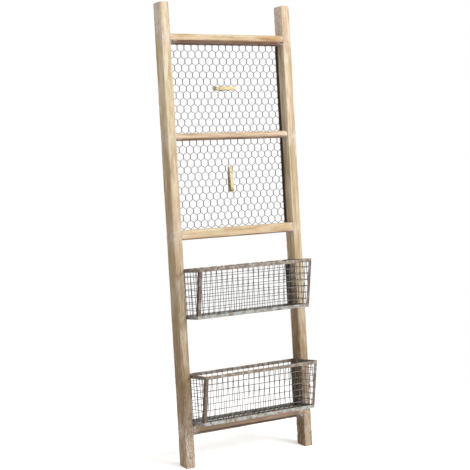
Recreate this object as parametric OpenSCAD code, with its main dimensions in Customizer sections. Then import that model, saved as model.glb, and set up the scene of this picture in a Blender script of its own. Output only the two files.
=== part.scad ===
// Ladder shelf that leans on a wall: two rails, four rungs, a chicken-wire panel that
// carries two clothespins, and two wire baskets screwed between the rails.
// Everything is drawn in the ladder's own frame, with X across, Y from the front of the
// rails to the back and Z up along the rails, and is then leaned back towards the wall.

/* [Ladder] */
// Width over both rails
ladder_w = 478; // [440:2:520]
// Length of a rail along its slope
rail_len = 1450; // [1420:5:1500]
// Width of a rail, seen from the front
rail_w = 31; // [28:1:36]
// Depth of a rail, from front to back
rail_d = 47; // [46:1:54]
// Angle that the ladder leans back from upright
lean = 6.2; // [4:0.1:12]

/* [Rungs] */
// Height of the bottom rung's centre along the rails
bottom_rung_z = 117; // [114:1:120]
// Spacing of the rung places; the second place from the bottom has no rung
rung_pitch = 305; // [300:1:312]
// Height of a rung
rung_h = 31; // [26:1:32]
// Depth of a rung, from front to back
rung_d = 40; // [36:1:40]
// Height of the slimmer middle rung
middle_rung_h = 23; // [20:1:28]
// Depth of the slimmer middle rung
middle_rung_d = 30; // [26:1:30]

/* [Wire panel] */
// Distance between neighbouring twists in one row of the chicken wire
hex_pitch = 25.4; // [24:0.2:27]
// Distance between one row of twists and the next
hex_row = 21.4; // [21:0.1:22]
// Thickness of the panel's wire
hex_wire = 1.2; // [1:0.1:1.4]
// Width of the steel strips that hold the panel's sides
edge_strip_w = 12; // [10:1:14]

/* [Baskets] */
// Height of the lower basket's rear bottom edge along the rails
lower_basket_z = 133; // [133:1:138]
// Height of the upper basket's rear bottom edge along the rails
upper_basket_z = 463; // [455:1:475]
// Height of a basket along its rear wall
basket_h = 156.5; // [154:0.5:160]
// Depth of a basket at its floor
basket_floor_d = 111; // [104:1:116]
// Depth of a basket at its rim
basket_rim_d = 140; // [134:1:150]
// Angle that a basket's front is raised from square to the rails
basket_tilt = 2.6; // [1:0.1:4]
// Width of the folded steel strips of a basket's frame
strip_w = 11; // [10:0.5:12]
// Thickness of those strips
strip_t = 1.2; // [1:0.1:1.5]
// Thickness of the welded basket wire
grid_wire = 2; // [1.6:0.1:2]
// Rows of cells from the floor of a basket to its rim
grid_rows = 7; // [6:1:8]
// Columns of cells across a basket
grid_columns = 21; // [18:1:24]

/* [Clothespins] */
// Length of a clothespin from its coil to the tip of its jaws
jaw_len = 50; // [44:1:54]
// Length of a clothespin from its coil to the end of its grips
grip_len = 32; // [26:1:34]
// Width of a clothespin
pin_w = 11; // [9:0.5:11]
// Row of twists, counted down from the top, where the upper clothespin's coil sits
upper_pin_row = 6; // [4:2:8]
// Row of twists, counted down from the top, where the lower clothespin's coil sits
lower_pin_row = 20; // [18:2:22]
// Distance of the upper clothespin's coil to the right of the panel's middle
upper_pin_x = 7; // [0:0.5:8]
// Distance of the lower clothespin's coil to the right of the panel's middle
lower_pin_x = 3.5; // [0:0.5:8]

/* [Hidden] */
$fn = 48;

LEFT = -1;
RIGHT = 1;

// Ladder
inner_half = ladder_w / 2 - rail_w;
rail_round = 2.5;
top_bevel = 3;
third_rung_z = bottom_rung_z + 2 * rung_pitch;
middle_rung_z = bottom_rung_z + 3 * rung_pitch;
top_rung_z = bottom_rung_z + 4 * rung_pitch;
rung_front = 1;
middle_rung_front = 4;
rung_round = 5;
middle_rung_round = 9;

// Dowels: two in each end of a rung, half in the rung and half in the rail
dowel_r = 4;
dowel_len = 40;
dowel_inset = 10;

// Wire panel, against the rear faces of the top and third rungs
panel_y = rung_front + rung_d;
panel_mid_y = panel_y + hex_wire / 2;
edge_strip_t = 1.5;
edge_strip_y = rail_d - edge_strip_w;
panel_half = inner_half - edge_strip_t;
panel_margin = 6.5;
panel_top = top_rung_z + rung_h / 2 - panel_margin;
panel_bottom = third_rung_z - rung_h / 2 + panel_margin;
panel_border = 1.5;
hex_line = 1.6;
twist_half = 6.9;
function twist_row_z(row) = panel_top - (row + 1.5) * hex_row;

// Nails of the edge strips and staples of the panel
nail_r = 1;
nail_len = 16;
nail_head_r = 2;
nail_head_h = 1;
nail_y = edge_strip_y + 2.7;
nail_heights = [third_rung_z + 45, middle_rung_z - 30, top_rung_z - 45];
staple_half = 3.6;
staple_r = 0.5;
staple_depth = 6;
staple_columns = [-7, -4, 0, 4, 7];

// Basket outline seen from the side, as [y, z] from its rear bottom edge's height:
// rear bottom, front bottom, front top, rear top
basket_rear_y = 44;
tilt_way = [-cos(basket_tilt), sin(basket_tilt)];
basket_outline = let (rear_bottom = [basket_rear_y, 0], rear_top = [basket_rear_y, basket_h]) [
    rear_bottom,
    rear_bottom + tilt_way * basket_floor_d,
    rear_top + tilt_way * basket_rim_d,
    rear_top,
];
REAR_BOTTOM = 0;
FRONT_BOTTOM = 1;
FRONT_TOP = 2;
REAR_TOP = 3;
mesh_top_gap = 1;
mesh_gap = 0.15;
mesh_half = inner_half - strip_t - grid_wire;
first_wire_z = 7;
grid_row = (basket_h - first_wire_z - 5) / grid_rows;
grid_column = 2 * mesh_half / grid_columns;

// Basket screws, through the rear uprights into the rails
screw_r = 1.75;
screw_len = 18;
screw_head_r = 3.4;
screw_head_h = 2.2;
screw_y = basket_rear_y - 6.7;
screw_heights = [17.5, 116];

// Clothespin, in its own frame: x towards the jaws, y away from the panel, z its width
jaw_gap = hex_wire / 2 + 0.6;
coil_r = 3.4;
coil_bore_r = 1.9;
coil_clearance = 0.3;
arm_r = 0.65;
bar_r = 0.6;
arm_x = 30;
leg_back = 5.5;
leg_outline = [
    [jaw_len, jaw_gap],
    [jaw_len, 2.8],
    [jaw_len - 7, 5.6],
    [4, 8.8],
    [4 - grip_len, 9.8],
    [-grip_len, 8.8],
    [-grip_len, leg_back],
    [0, jaw_gap],
];
arm_y = 5.6 + (jaw_len - 7 - arm_x) * (8.8 - 5.6) / (jaw_len - 11);
arm_side = pin_w / 2 + arm_r + 0.05;

// The front and rear of the leaned ladder, to put the origin midway between them
rear_edge_y = (rail_len - top_bevel) * sin(lean) + rail_d * cos(lean);
rim_front = basket_outline[FRONT_TOP] + [0, lower_basket_z];
front_edge_y = rim_front.y * sin(lean) + rim_front.x * cos(lean);
middle_y = (rear_edge_y + front_edge_y) / 2;

// Colours
WOOD = [0.78, 0.66, 0.50];
WOOD_LIGHT = [0.83, 0.72, 0.58];
PIN_WOOD = [0.91, 0.84, 0.62];
DARK_STEEL = [0.24, 0.18, 0.14];
STRIP_STEEL = [0.55, 0.52, 0.47];
WIRE_STEEL = [0.48, 0.47, 0.46];

// ---------------------------------------------------------------- shared shapes

// Leans the ladder back and centres it on the origin
module leaned() {
    translate([0, -middle_y, 0])
        rotate([-lean, 0, 0])
            children();
}

// Solid of a side profile of [y, z] points, from x0 to x1
module across(x0, x1, profile) {
    translate([x0, 0, 0])
        rotate([90, 0, 90])
            linear_extrude(x1 - x0)
                polygon(profile);
}

// Rectangle with rounded corners, from the origin
module rounded(w, h, r) {
    translate([r, 0]) square([w - 2 * r, h]);
    translate([0, r]) square([w, h - 2 * r]);
    for (x = [r, w - r], y = [r, h - r])
        translate([x, y]) circle(r);
}

// Straight round bar from the plane x = 0 towards +X
module bar_x(r, length) {
    rotate([0, 90, 0]) cylinder(r = r, h = length);
}

// ---------------------------------------------------------------- rails and rungs

// Dowel places at the right end of the rungs, as [y, z]
dowel_places = concat(
    [for (z = [bottom_rung_z, third_rung_z, top_rung_z],
          y = [rung_front + dowel_inset, rung_front + rung_d - dowel_inset]) [y, z]],
    [for (y = [middle_rung_front + 8, middle_rung_front + middle_rung_d - 8])
        [y, middle_rung_z]]
);

// Screw places at the right side of both baskets, as [y, z]
screw_places = [for (base = [lower_basket_z, upper_basket_z], z = screw_heights)
    [screw_y, base + z]];

module dowels(side) {
    for (place = dowel_places)
        translate([side * (inner_half + dowel_len / 2), place.x, place.y])
            rotate([0, -side * 90, 0])
                cylinder(r = dowel_r, h = dowel_len);
}

module screw_shanks(side, places, r, length) {
    for (place = places)
        translate([side * inner_half, place.x, place.y])
            rotate([0, side * 90, 0])
                cylinder(r = r, h = length);
}

nail_places = [for (z = nail_heights) [nail_y, z]];

module rail(side) {
    color(WOOD) leaned() difference() {
        intersection() {
            translate([side > 0 ? inner_half : -inner_half - rail_w, 0, 0])
                linear_extrude(rail_len)
                    rounded(rail_w, rail_d, rail_round);
            across(-ladder_w, ladder_w, [
                [0, 0],
                [rail_d, rail_d * tan(lean)],
                [rail_d, rail_len - top_bevel],
                [rail_d - top_bevel, rail_len],
                [top_bevel, rail_len],
                [0, rail_len - top_bevel],
            ]);
        }
        dowels(side);
        screw_shanks(side, screw_places, screw_r, screw_len);
        screw_shanks(side, nail_places, nail_r, nail_len);
    }
}

module rung(z, front, depth, height, round) {
    color(WOOD_LIGHT) leaned() difference() {
        translate([-inner_half, front, z - height / 2])
            rotate([90, 0, 90])
                linear_extrude(2 * inner_half)
                    rounded(depth, height, round);
        dowels(LEFT);
        dowels(RIGHT);
    }
}

module left_rail() rail(LEFT);
module right_rail() rail(RIGHT);
module top_rung() rung(top_rung_z, rung_front, rung_d, rung_h, rung_round);
module middle_rung()
    rung(middle_rung_z, middle_rung_front, middle_rung_d, middle_rung_h, middle_rung_round);
module third_rung() rung(third_rung_z, rung_front, rung_d, rung_h, rung_round);
module bottom_rung() rung(bottom_rung_z, rung_front, rung_d, rung_h, rung_round);

module rung_dowels() {
    color(WOOD_LIGHT) leaned() {
        dowels(LEFT);
        dowels(RIGHT);
    }
}

// ---------------------------------------------------------------- chicken-wire panel

function limit(v, low, high) = max(low, min(high, v));

// One open cell of the chicken wire, kept inside the panel's border
function hex_cell(x, z) = let (
    half = hex_pitch / 2 - hex_line / 2,
    slope = (hex_row - 2 * twist_half) / (hex_pitch / 2),
    tip = hex_row - twist_half - hex_line / 2,
    shoulder = tip - half * slope,
    edge_x = panel_half - panel_border
) [
    for (p = [[0, tip], [half, shoulder], [half, -shoulder],
              [0, -tip], [-half, -shoulder], [-half, shoulder]])
        [limit(x + p.x, -edge_x, edge_x),
         limit(z + p.y, panel_bottom + panel_border, panel_top - panel_border)]
];

last_row = floor((panel_top - panel_bottom) / hex_row) - 2;
hex_columns = ceil(panel_half / hex_pitch);
hex_cells = [
    for (row = [-1:last_row])
        for (column = [-hex_columns:hex_columns])
            let (x = (column + (row % 2 == 0 ? 0 : 0.5)) * hex_pitch)
                if (abs(x) < panel_half - panel_border)
                    hex_cell(x, twist_row_z(row))
];

// Polygons of a list of outlines
module polygons(outlines) {
    for (outline = outlines) polygon(outline);
}

// Flat sheet with the given outline, pierced by a list of cells
module pierced(outline, cells) {
    difference() {
        polygon(outline);
        polygons(cells);
    }
}

module wire_panel() {
    color(WIRE_STEEL) leaned()
        translate([0, panel_y + hex_wire, 0])
            rotate([90, 0, 0])
                linear_extrude(hex_wire)
                    pierced([
                        [-panel_half, panel_bottom],
                        [panel_half, panel_bottom],
                        [panel_half, panel_top],
                        [-panel_half, panel_top],
                    ], hex_cells);
}

module edge_strip(side) {
    color(DARK_STEEL) leaned() difference() {
        translate([side > 0 ? panel_half : -inner_half, edge_strip_y,
                   third_rung_z + rung_h / 2])
            cube([edge_strip_t, edge_strip_w, top_rung_z - third_rung_z - rung_h]);
        translate([-side * edge_strip_t, 0, 0])
            screw_shanks(side, nail_places, nail_r, nail_len);
    }
}

module left_edge_strip() edge_strip(LEFT);
module right_edge_strip() edge_strip(RIGHT);

// Headed fasteners that run into a rail, with their heads on a plate of the given thickness
module headed(side, places, r, length, head_r, head_h, plate) {
    for (place = places)
        translate([side * (inner_half - plate), place.x, place.y])
            rotate([0, side * 90, 0]) {
                cylinder(r = r, h = length + plate);
                translate([0, 0, -head_h]) cylinder(r = head_r, h = head_h);
            }
}

module edge_strip_nails() {
    color(DARK_STEEL) leaned()
        for (side = [LEFT, RIGHT])
            headed(side, nail_places, nail_r, nail_len, nail_head_r, nail_head_h, edge_strip_t);
}

// Staples over the twists in front of the rear faces of the top and third rungs
module panel_staples() {
    back = panel_y + hex_wire;
    color(WIRE_STEEL) leaned()
        for (z = [twist_row_z(-1), twist_row_z(last_row)], column = staple_columns)
            translate([column * hex_pitch, back + staple_r, z]) {
                translate([-staple_half, 0, 0]) bar_x(staple_r, 2 * staple_half);
                for (x = [-staple_half, staple_half])
                    translate([x, 0, 0])
                        rotate([90, 0, 0])
                            cylinder(r = staple_r, h = hex_wire + staple_r + staple_depth);
            }
}

// ---------------------------------------------------------------- baskets

function cross2(a, b) = a.x * b.y - a.y * b.x;
function inward(a, b) = [b.y - a.y, a.x - b.x] / norm(b - a);

// Corner of the basket outline, with the side before it and the side after it moved inward
function at(corner, before, after) = let (
    a = basket_outline[(corner + 3) % 4],
    b = basket_outline[corner],
    c = basket_outline[(corner + 1) % 4],
    p = a + inward(a, b) * before,
    q = b + inward(b, c) * after
) p + (b - a) * cross2(q - p, c - b) / cross2(b - a, c - b);

module basket_at(base) {
    leaned() translate([0, 0, base]) children();
}

// Band of strip bent round the four walls at their top
module top_rim(base) {
    color(STRIP_STEEL) basket_at(base) difference() {
        across(-inner_half, inner_half, [
            at(FRONT_TOP, 0, 0), at(REAR_TOP, 0, 0),
            at(REAR_TOP, strip_w, 0), at(FRONT_TOP, 0, strip_w),
        ]);
        across(-inner_half + strip_t, inner_half - strip_t, [
            at(FRONT_TOP, strip_t, -strip_w), at(REAR_TOP, -strip_w, strip_t),
            at(REAR_TOP, 2 * strip_w, strip_t), at(FRONT_TOP, strip_t, 2 * strip_w),
        ]);
    }
}

// Angle strip bent round the floor: an upright leg on the walls and a flat leg under the floor
module bottom_rim(base) {
    color(STRIP_STEEL) basket_at(base) difference() {
        across(-inner_half, inner_half, [
            at(REAR_BOTTOM, 0, 0), at(FRONT_BOTTOM, 0, 0),
            at(FRONT_BOTTOM, strip_w, 0), at(REAR_BOTTOM, 0, strip_w),
        ]);
        across(-inner_half + strip_t, inner_half - strip_t, [
            at(REAR_BOTTOM, strip_t, strip_t), at(FRONT_BOTTOM, strip_t, strip_t),
            at(FRONT_BOTTOM, 2 * strip_w, strip_t), at(REAR_BOTTOM, strip_t, 2 * strip_w),
        ]);
        across(-inner_half + strip_w, inner_half - strip_w, [
            at(REAR_BOTTOM, strip_w, -strip_w), at(FRONT_BOTTOM, -strip_w, strip_w),
            at(FRONT_BOTTOM, 2 * strip_w, strip_w), at(REAR_BOTTOM, strip_w, 2 * strip_w),
        ]);
    }
}

// Profile of a strip on the front wall between the two rims, of the given width inward
function front_strip(width) = [
    at(FRONT_BOTTOM, strip_w, 0), at(FRONT_TOP, 0, strip_w),
    at(FRONT_TOP, width, strip_w), at(FRONT_BOTTOM, strip_w, width),
];

// The same on the rear wall
function rear_strip(width) = [
    at(REAR_BOTTOM, 0, strip_w), at(REAR_BOTTOM, width, strip_w),
    at(REAR_TOP, strip_w, width), at(REAR_TOP, strip_w, 0),
];

// Corner angle: wide_profile lies along the side wall, thin_profile on the front or rear wall
module corner_angle(side, thin_profile, wide_profile) {
    low = side > 0 ? inner_half - strip_w : -inner_half;
    thin_low = side > 0 ? inner_half - strip_t : -inner_half;
    across(low, low + strip_w, thin_profile);
    across(thin_low, thin_low + strip_t, wide_profile);
}

module front_upright(base, side) {
    color(STRIP_STEEL) basket_at(base)
        corner_angle(side, front_strip(strip_t), front_strip(strip_w));
}

module rear_upright(base, side) {
    color(DARK_STEEL) difference() {
        basket_at(base) corner_angle(side, rear_strip(strip_t), rear_strip(strip_w));
        leaned()
            translate([-side * strip_w, 0, 0])
                screw_shanks(side, screw_places, screw_r, screw_len + strip_w);
    }
}

// Openings of a grid whose wires lie at the given places
function grid_cells(xs, ys) = let (line = grid_wire / 2) [
    for (i = [0:len(xs) - 2], j = [0:len(ys) - 2]) [
        [xs[i] + line, ys[j] + line],
        [xs[i + 1] - line, ys[j] + line],
        [xs[i + 1] - line, ys[j + 1] - line],
        [xs[i] + line, ys[j + 1] - line],
    ]
];

column_wires = [for (i = [0:grid_columns])
    -mesh_half + i * grid_column + (i == 0 ? grid_wire : i == grid_columns ? -grid_wire : 0)];
row_wires = [for (j = [0:grid_rows]) first_wire_z + j * grid_row];

// Flat grid of the basket's width on the wall that runs from a to b in the side view
module wall_grid(a, b, layer, rows) {
    translate([0, a.x, a.y])
        rotate([atan2(b.y - a.y, b.x - a.x), 0, 0])
            translate([0, 0, layer])
                linear_extrude(grid_wire)
                    pierced([
                        [-mesh_half, 0],
                        [mesh_half, 0],
                        [mesh_half, norm(b - a)],
                        [-mesh_half, norm(b - a)],
                    ], grid_cells(column_wires, rows));
}

module front_mesh(base) {
    color(WIRE_STEEL) basket_at(base)
        wall_grid(at(FRONT_BOTTOM, strip_t, strip_t), at(FRONT_TOP, strip_t, mesh_top_gap),
                  -grid_wire, row_wires);
}

module rear_mesh(base) {
    color(WIRE_STEEL) basket_at(base)
        wall_grid(at(REAR_BOTTOM, strip_t, strip_t + mesh_gap),
                  at(REAR_TOP, mesh_top_gap, strip_t), 0, row_wires);
}

module floor_mesh(base) {
    a = at(FRONT_BOTTOM, strip_t, strip_t + grid_wire + 0.6);
    b = at(REAR_BOTTOM, strip_t + grid_wire + mesh_gap, strip_t);
    rows = floor(norm(b - a) / grid_row);
    step = (norm(b - a) - 2 * grid_wire) / rows;
    color(WIRE_STEEL) basket_at(base)
        wall_grid(a, b, 0, [for (j = [0:rows]) grid_wire + j * step]);
}

// Side wall: square cells cut off by the slant of the front
module side_mesh(base, side) {
    border = strip_t + grid_wire;
    depth = basket_rear_y - strip_t - at(FRONT_TOP, 0, 0).x;
    outline = [
        at(REAR_BOTTOM, strip_t, strip_t), at(FRONT_BOTTOM, strip_t, strip_t),
        at(FRONT_TOP, strip_t, mesh_top_gap), at(REAR_TOP, mesh_top_gap, strip_t),
    ];
    window = [
        at(REAR_BOTTOM, border, border), at(FRONT_BOTTOM, border, border),
        at(FRONT_TOP, border, border), at(REAR_TOP, border, border),
    ];
    low = side > 0 ? mesh_half : -mesh_half - grid_wire;
    wires = [for (i = [-floor(depth / grid_column) - 1:0]) i * grid_column];
    color(WIRE_STEEL) basket_at(base)
        translate([low, 0, 0])
            rotate([90, 0, 90])
                linear_extrude(grid_wire)
                    difference() {
                        polygon(outline);
                        intersection() {
                            polygon(window);
                            translate([basket_rear_y - strip_t, 0])
                                rotate(-basket_tilt)
                                    polygons(grid_cells(wires, row_wires));
                        }
                    }
}

module basket_screws(base) {
    color(DARK_STEEL) leaned()
        for (side = [LEFT, RIGHT])
            headed(side, [for (z = screw_heights) [screw_y, base + z]],
                   screw_r, screw_len, screw_head_r, screw_head_h, strip_t);
}

module upper_basket_top_rim() top_rim(upper_basket_z);
module upper_basket_bottom_rim() bottom_rim(upper_basket_z);
module upper_basket_front_left_upright() front_upright(upper_basket_z, LEFT);
module upper_basket_front_right_upright() front_upright(upper_basket_z, RIGHT);
module upper_basket_rear_left_upright() rear_upright(upper_basket_z, LEFT);
module upper_basket_rear_right_upright() rear_upright(upper_basket_z, RIGHT);
module upper_basket_front_mesh() front_mesh(upper_basket_z);
module upper_basket_rear_mesh() rear_mesh(upper_basket_z);
module upper_basket_left_mesh() side_mesh(upper_basket_z, LEFT);
module upper_basket_right_mesh() side_mesh(upper_basket_z, RIGHT);
module upper_basket_floor_mesh() floor_mesh(upper_basket_z);
module upper_basket_screws() basket_screws(upper_basket_z);

module lower_basket_top_rim() top_rim(lower_basket_z);
module lower_basket_bottom_rim() bottom_rim(lower_basket_z);
module lower_basket_front_left_upright() front_upright(lower_basket_z, LEFT);
module lower_basket_front_right_upright() front_upright(lower_basket_z, RIGHT);
module lower_basket_rear_left_upright() rear_upright(lower_basket_z, LEFT);
module lower_basket_rear_right_upright() rear_upright(lower_basket_z, RIGHT);
module lower_basket_front_mesh() front_mesh(lower_basket_z);
module lower_basket_rear_mesh() rear_mesh(lower_basket_z);
module lower_basket_left_mesh() side_mesh(lower_basket_z, LEFT);
module lower_basket_right_mesh() side_mesh(lower_basket_z, RIGHT);
module lower_basket_floor_mesh() floor_mesh(lower_basket_z);
module lower_basket_screws() basket_screws(lower_basket_z);

// ---------------------------------------------------------------- clothespins

// Puts a clothespin's own frame on the panel, with its jaws up; turn swings them round
module pin_at(row, x, turn) {
    leaned()
        translate([x, panel_mid_y, twist_row_z(row)])
            rotate([0, turn, 0])
                rotate([180, -90, 0])
                    children();
}

// Wooden leg on the +y side, with a seat for the coil, a jaw notch and a groove for the arm
module pin_leg() {
    translate([0, 0, -pin_w / 2])
        linear_extrude(pin_w)
            difference() {
                polygon(leg_outline);
                circle(coil_r + coil_clearance);
                translate([arm_x, arm_y]) circle(arm_r + 0.1);
                translate([jaw_len - 12, jaw_gap - 1]) circle(3);
            }
}

// Straight round wire between two points that differ in x and y only
module wire_xy(a, b) {
    translate(a)
        rotate([0, 90, atan2(b.y - a.y, b.x - a.x)])
            cylinder(r = arm_r, h = norm(b - a));
}

// Spring: a coil, and an arm on each side that ends in a bar across one leg's groove
module pin_spring() {
    coil_half = arm_side + arm_r + 0.1;
    coil_wire_r = (coil_r + coil_bore_r) / 2;
    difference() {
        translate([0, 0, -coil_half]) cylinder(r = coil_r, h = 2 * coil_half);
        translate([0, 0, -coil_half - 1]) cylinder(r = coil_bore_r, h = 2 * coil_half + 2);
    }
    for (way = [1, -1]) {
        start = [0, way * coil_wire_r];
        end = [arm_x, way * arm_y];
        past = end + (end - start) / norm(end - start) * arm_r;
        wire_xy([start.x, start.y, way * arm_side], [past.x, past.y, way * arm_side]);
        translate([end.x, end.y, -arm_side]) cylinder(r = bar_r, h = 2 * arm_side);
    }
}

UPRIGHT = 0;
LYING = -90;

module upper_pin_at() pin_at(upper_pin_row, upper_pin_x, LYING) children();
module lower_pin_at() pin_at(lower_pin_row, lower_pin_x, UPRIGHT) children();

module upper_pin_front_leg() color(PIN_WOOD) upper_pin_at() pin_leg();
module upper_pin_rear_leg() color(PIN_WOOD) upper_pin_at() mirror([0, 1, 0]) pin_leg();
module upper_pin_spring() color(DARK_STEEL) upper_pin_at() pin_spring();
module lower_pin_front_leg() color(PIN_WOOD) lower_pin_at() pin_leg();
module lower_pin_rear_leg() color(PIN_WOOD) lower_pin_at() mirror([0, 1, 0]) pin_leg();
module lower_pin_spring() color(DARK_STEEL) lower_pin_at() pin_spring();

// ---------------------------------------------------------------- the whole ladder shelf

left_rail();
right_rail();
top_rung();
middle_rung();
third_rung();
bottom_rung();
rung_dowels();
wire_panel();
left_edge_strip();
right_edge_strip();
edge_strip_nails();
panel_staples();
upper_basket_top_rim();
upper_basket_bottom_rim();
upper_basket_front_left_upright();
upper_basket_front_right_upright();
upper_basket_rear_left_upright();
upper_basket_rear_right_upright();
upper_basket_front_mesh();
upper_basket_rear_mesh();
upper_basket_left_mesh();
upper_basket_right_mesh();
upper_basket_floor_mesh();
upper_basket_screws();
lower_basket_top_rim();
lower_basket_bottom_rim();
lower_basket_front_left_upright();
lower_basket_front_right_upright();
lower_basket_rear_left_upright();
lower_basket_rear_right_upright();
lower_basket_front_mesh();
lower_basket_rear_mesh();
lower_basket_left_mesh();
lower_basket_right_mesh();
lower_basket_floor_mesh();
lower_basket_screws();
upper_pin_front_leg();
upper_pin_rear_leg();
upper_pin_spring();
lower_pin_front_leg();
lower_pin_rear_leg();
lower_pin_spring();
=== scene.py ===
import math
import random

import bmesh
import bpy
import numpy as np
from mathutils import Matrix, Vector, noise


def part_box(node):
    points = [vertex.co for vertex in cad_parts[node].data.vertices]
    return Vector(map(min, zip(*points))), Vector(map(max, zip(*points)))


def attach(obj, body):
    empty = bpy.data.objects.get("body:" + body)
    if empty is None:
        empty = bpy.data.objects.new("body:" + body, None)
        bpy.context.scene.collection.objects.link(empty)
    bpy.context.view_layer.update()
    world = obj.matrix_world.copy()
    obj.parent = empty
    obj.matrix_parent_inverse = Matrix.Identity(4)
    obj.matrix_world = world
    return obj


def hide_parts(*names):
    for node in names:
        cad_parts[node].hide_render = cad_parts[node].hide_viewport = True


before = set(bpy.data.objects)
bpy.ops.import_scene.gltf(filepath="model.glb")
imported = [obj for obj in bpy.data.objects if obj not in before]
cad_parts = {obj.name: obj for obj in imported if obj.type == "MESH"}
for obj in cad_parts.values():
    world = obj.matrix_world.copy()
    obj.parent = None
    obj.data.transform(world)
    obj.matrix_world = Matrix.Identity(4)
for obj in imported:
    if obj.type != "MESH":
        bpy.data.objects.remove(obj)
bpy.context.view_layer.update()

# ------------------------ dimensions, as in the CAD

LEAN = math.radians(6.2)
MM = 0.001
# Rails and rungs. A rung's own height along the rails is that of its middle.
RAIL_W, RAIL_D, RAIL_LEN, RAIL_ROUND = 31, 47, 1450, 2.4
# Room that the rails' uneven tops keep below the CAD model's.
TOP_ROOM = 0.2
HALF_W = 239
INNER = HALF_W - RAIL_W
BOTTOM_RUNG, RUNG_PITCH = 117, 305
THIRD_RUNG = BOTTOM_RUNG + 2 * RUNG_PITCH
MIDDLE_RUNG = BOTTOM_RUNG + 3 * RUNG_PITCH
TOP_RUNG = BOTTOM_RUNG + 4 * RUNG_PITCH
RUNG_H, RUNG_D, RUNG_FRONT, RUNG_ROUND = 31, 40, 1, 5
MIDDLE_RUNG_H, MIDDLE_RUNG_D, MIDDLE_RUNG_FRONT, MIDDLE_RUNG_ROUND = 23, 30, 4, 9

# Chicken wire, and the steel strips at its sides.
HEX_PITCH, HEX_ROW, TWIST_HALF = 25.4, 21.4, 6.9
EDGE_STRIP_W, EDGE_STRIP_T, EDGE_STRIP_FRONT = 12, 1.5, 35
EDGE_STRIP_BOTTOM, EDGE_STRIP_TOP = THIRD_RUNG + RUNG_H / 2, TOP_RUNG - RUNG_H / 2
PANEL_MID = 41.6
PANEL_BACK = 42.2
PANEL_OVERLAP = 6.5
PANEL_TOP = TOP_RUNG + RUNG_H / 2 - PANEL_OVERLAP
PANEL_BOTTOM = THIRD_RUNG - RUNG_H / 2 + PANEL_OVERLAP
PANEL_HALF = INNER - EDGE_STRIP_T
LAST_ROW = math.floor((PANEL_TOP - PANEL_BOTTOM) / HEX_ROW) - 2

# Baskets, from the heights of their rear bottom edges. The rear walls tilt back by BASKET_TILT.
BASKET_BASES = {"lower": 133, "upper": 463}
BASKET_REAR = 44
BASKET_TILT = math.radians(2.6)
BASKET_WALL = 156.5
BASKET_TOP = BASKET_WALL * math.cos(BASKET_TILT)
REAR_SLOPE = math.tan(BASKET_TILT)
FLOOR_DEPTH, RIM_DEPTH = 111, 140
FRONT_SLOPE = (RIM_DEPTH + BASKET_WALL * math.sin(BASKET_TILT) - FLOOR_DEPTH) / BASKET_TOP
STRIP_W, STRIP_T, STRIP_BEND = 11, 1.2, 2.0
GRID_WIRE, GRID_R = 2.0, 0.95
GRID_ROWS, GRID_COLUMNS = 7, 21

# Each clothespin's row of twists, counted from the top, and its place across the panel.
UPPER_PIN_ROW, UPPER_PIN_X = 6, 7
LOWER_PIN_ROW, LOWER_PIN_X = 20, 3.5

foot_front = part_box("left_rail")[0].y


def to_world(points):
    """Ladder millimetres to the leaned CAD frame in metres."""
    p = np.asarray(points, float).reshape(-1, 3) * MM
    sin, cos = math.sin(LEAN), math.cos(LEAN)
    return np.column_stack(
        (p[:, 0], p[:, 1] * cos + p[:, 2] * sin + foot_front, p[:, 2] * cos - p[:, 1] * sin)
    )


# ------------------------ mesh building


def full_turn(sides):
    """Angles of the points round a circle."""
    return np.linspace(0, 2 * math.pi, sides, endpoint=False)


def directions(path):
    """Unit vectors along a path, one for each of its points."""
    ahead = np.gradient(path, axis=0)
    return ahead / np.linalg.norm(ahead, axis=1)[:, None]


def add_to_scene(obj):
    bpy.context.scene.collection.objects.link(obj)


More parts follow.
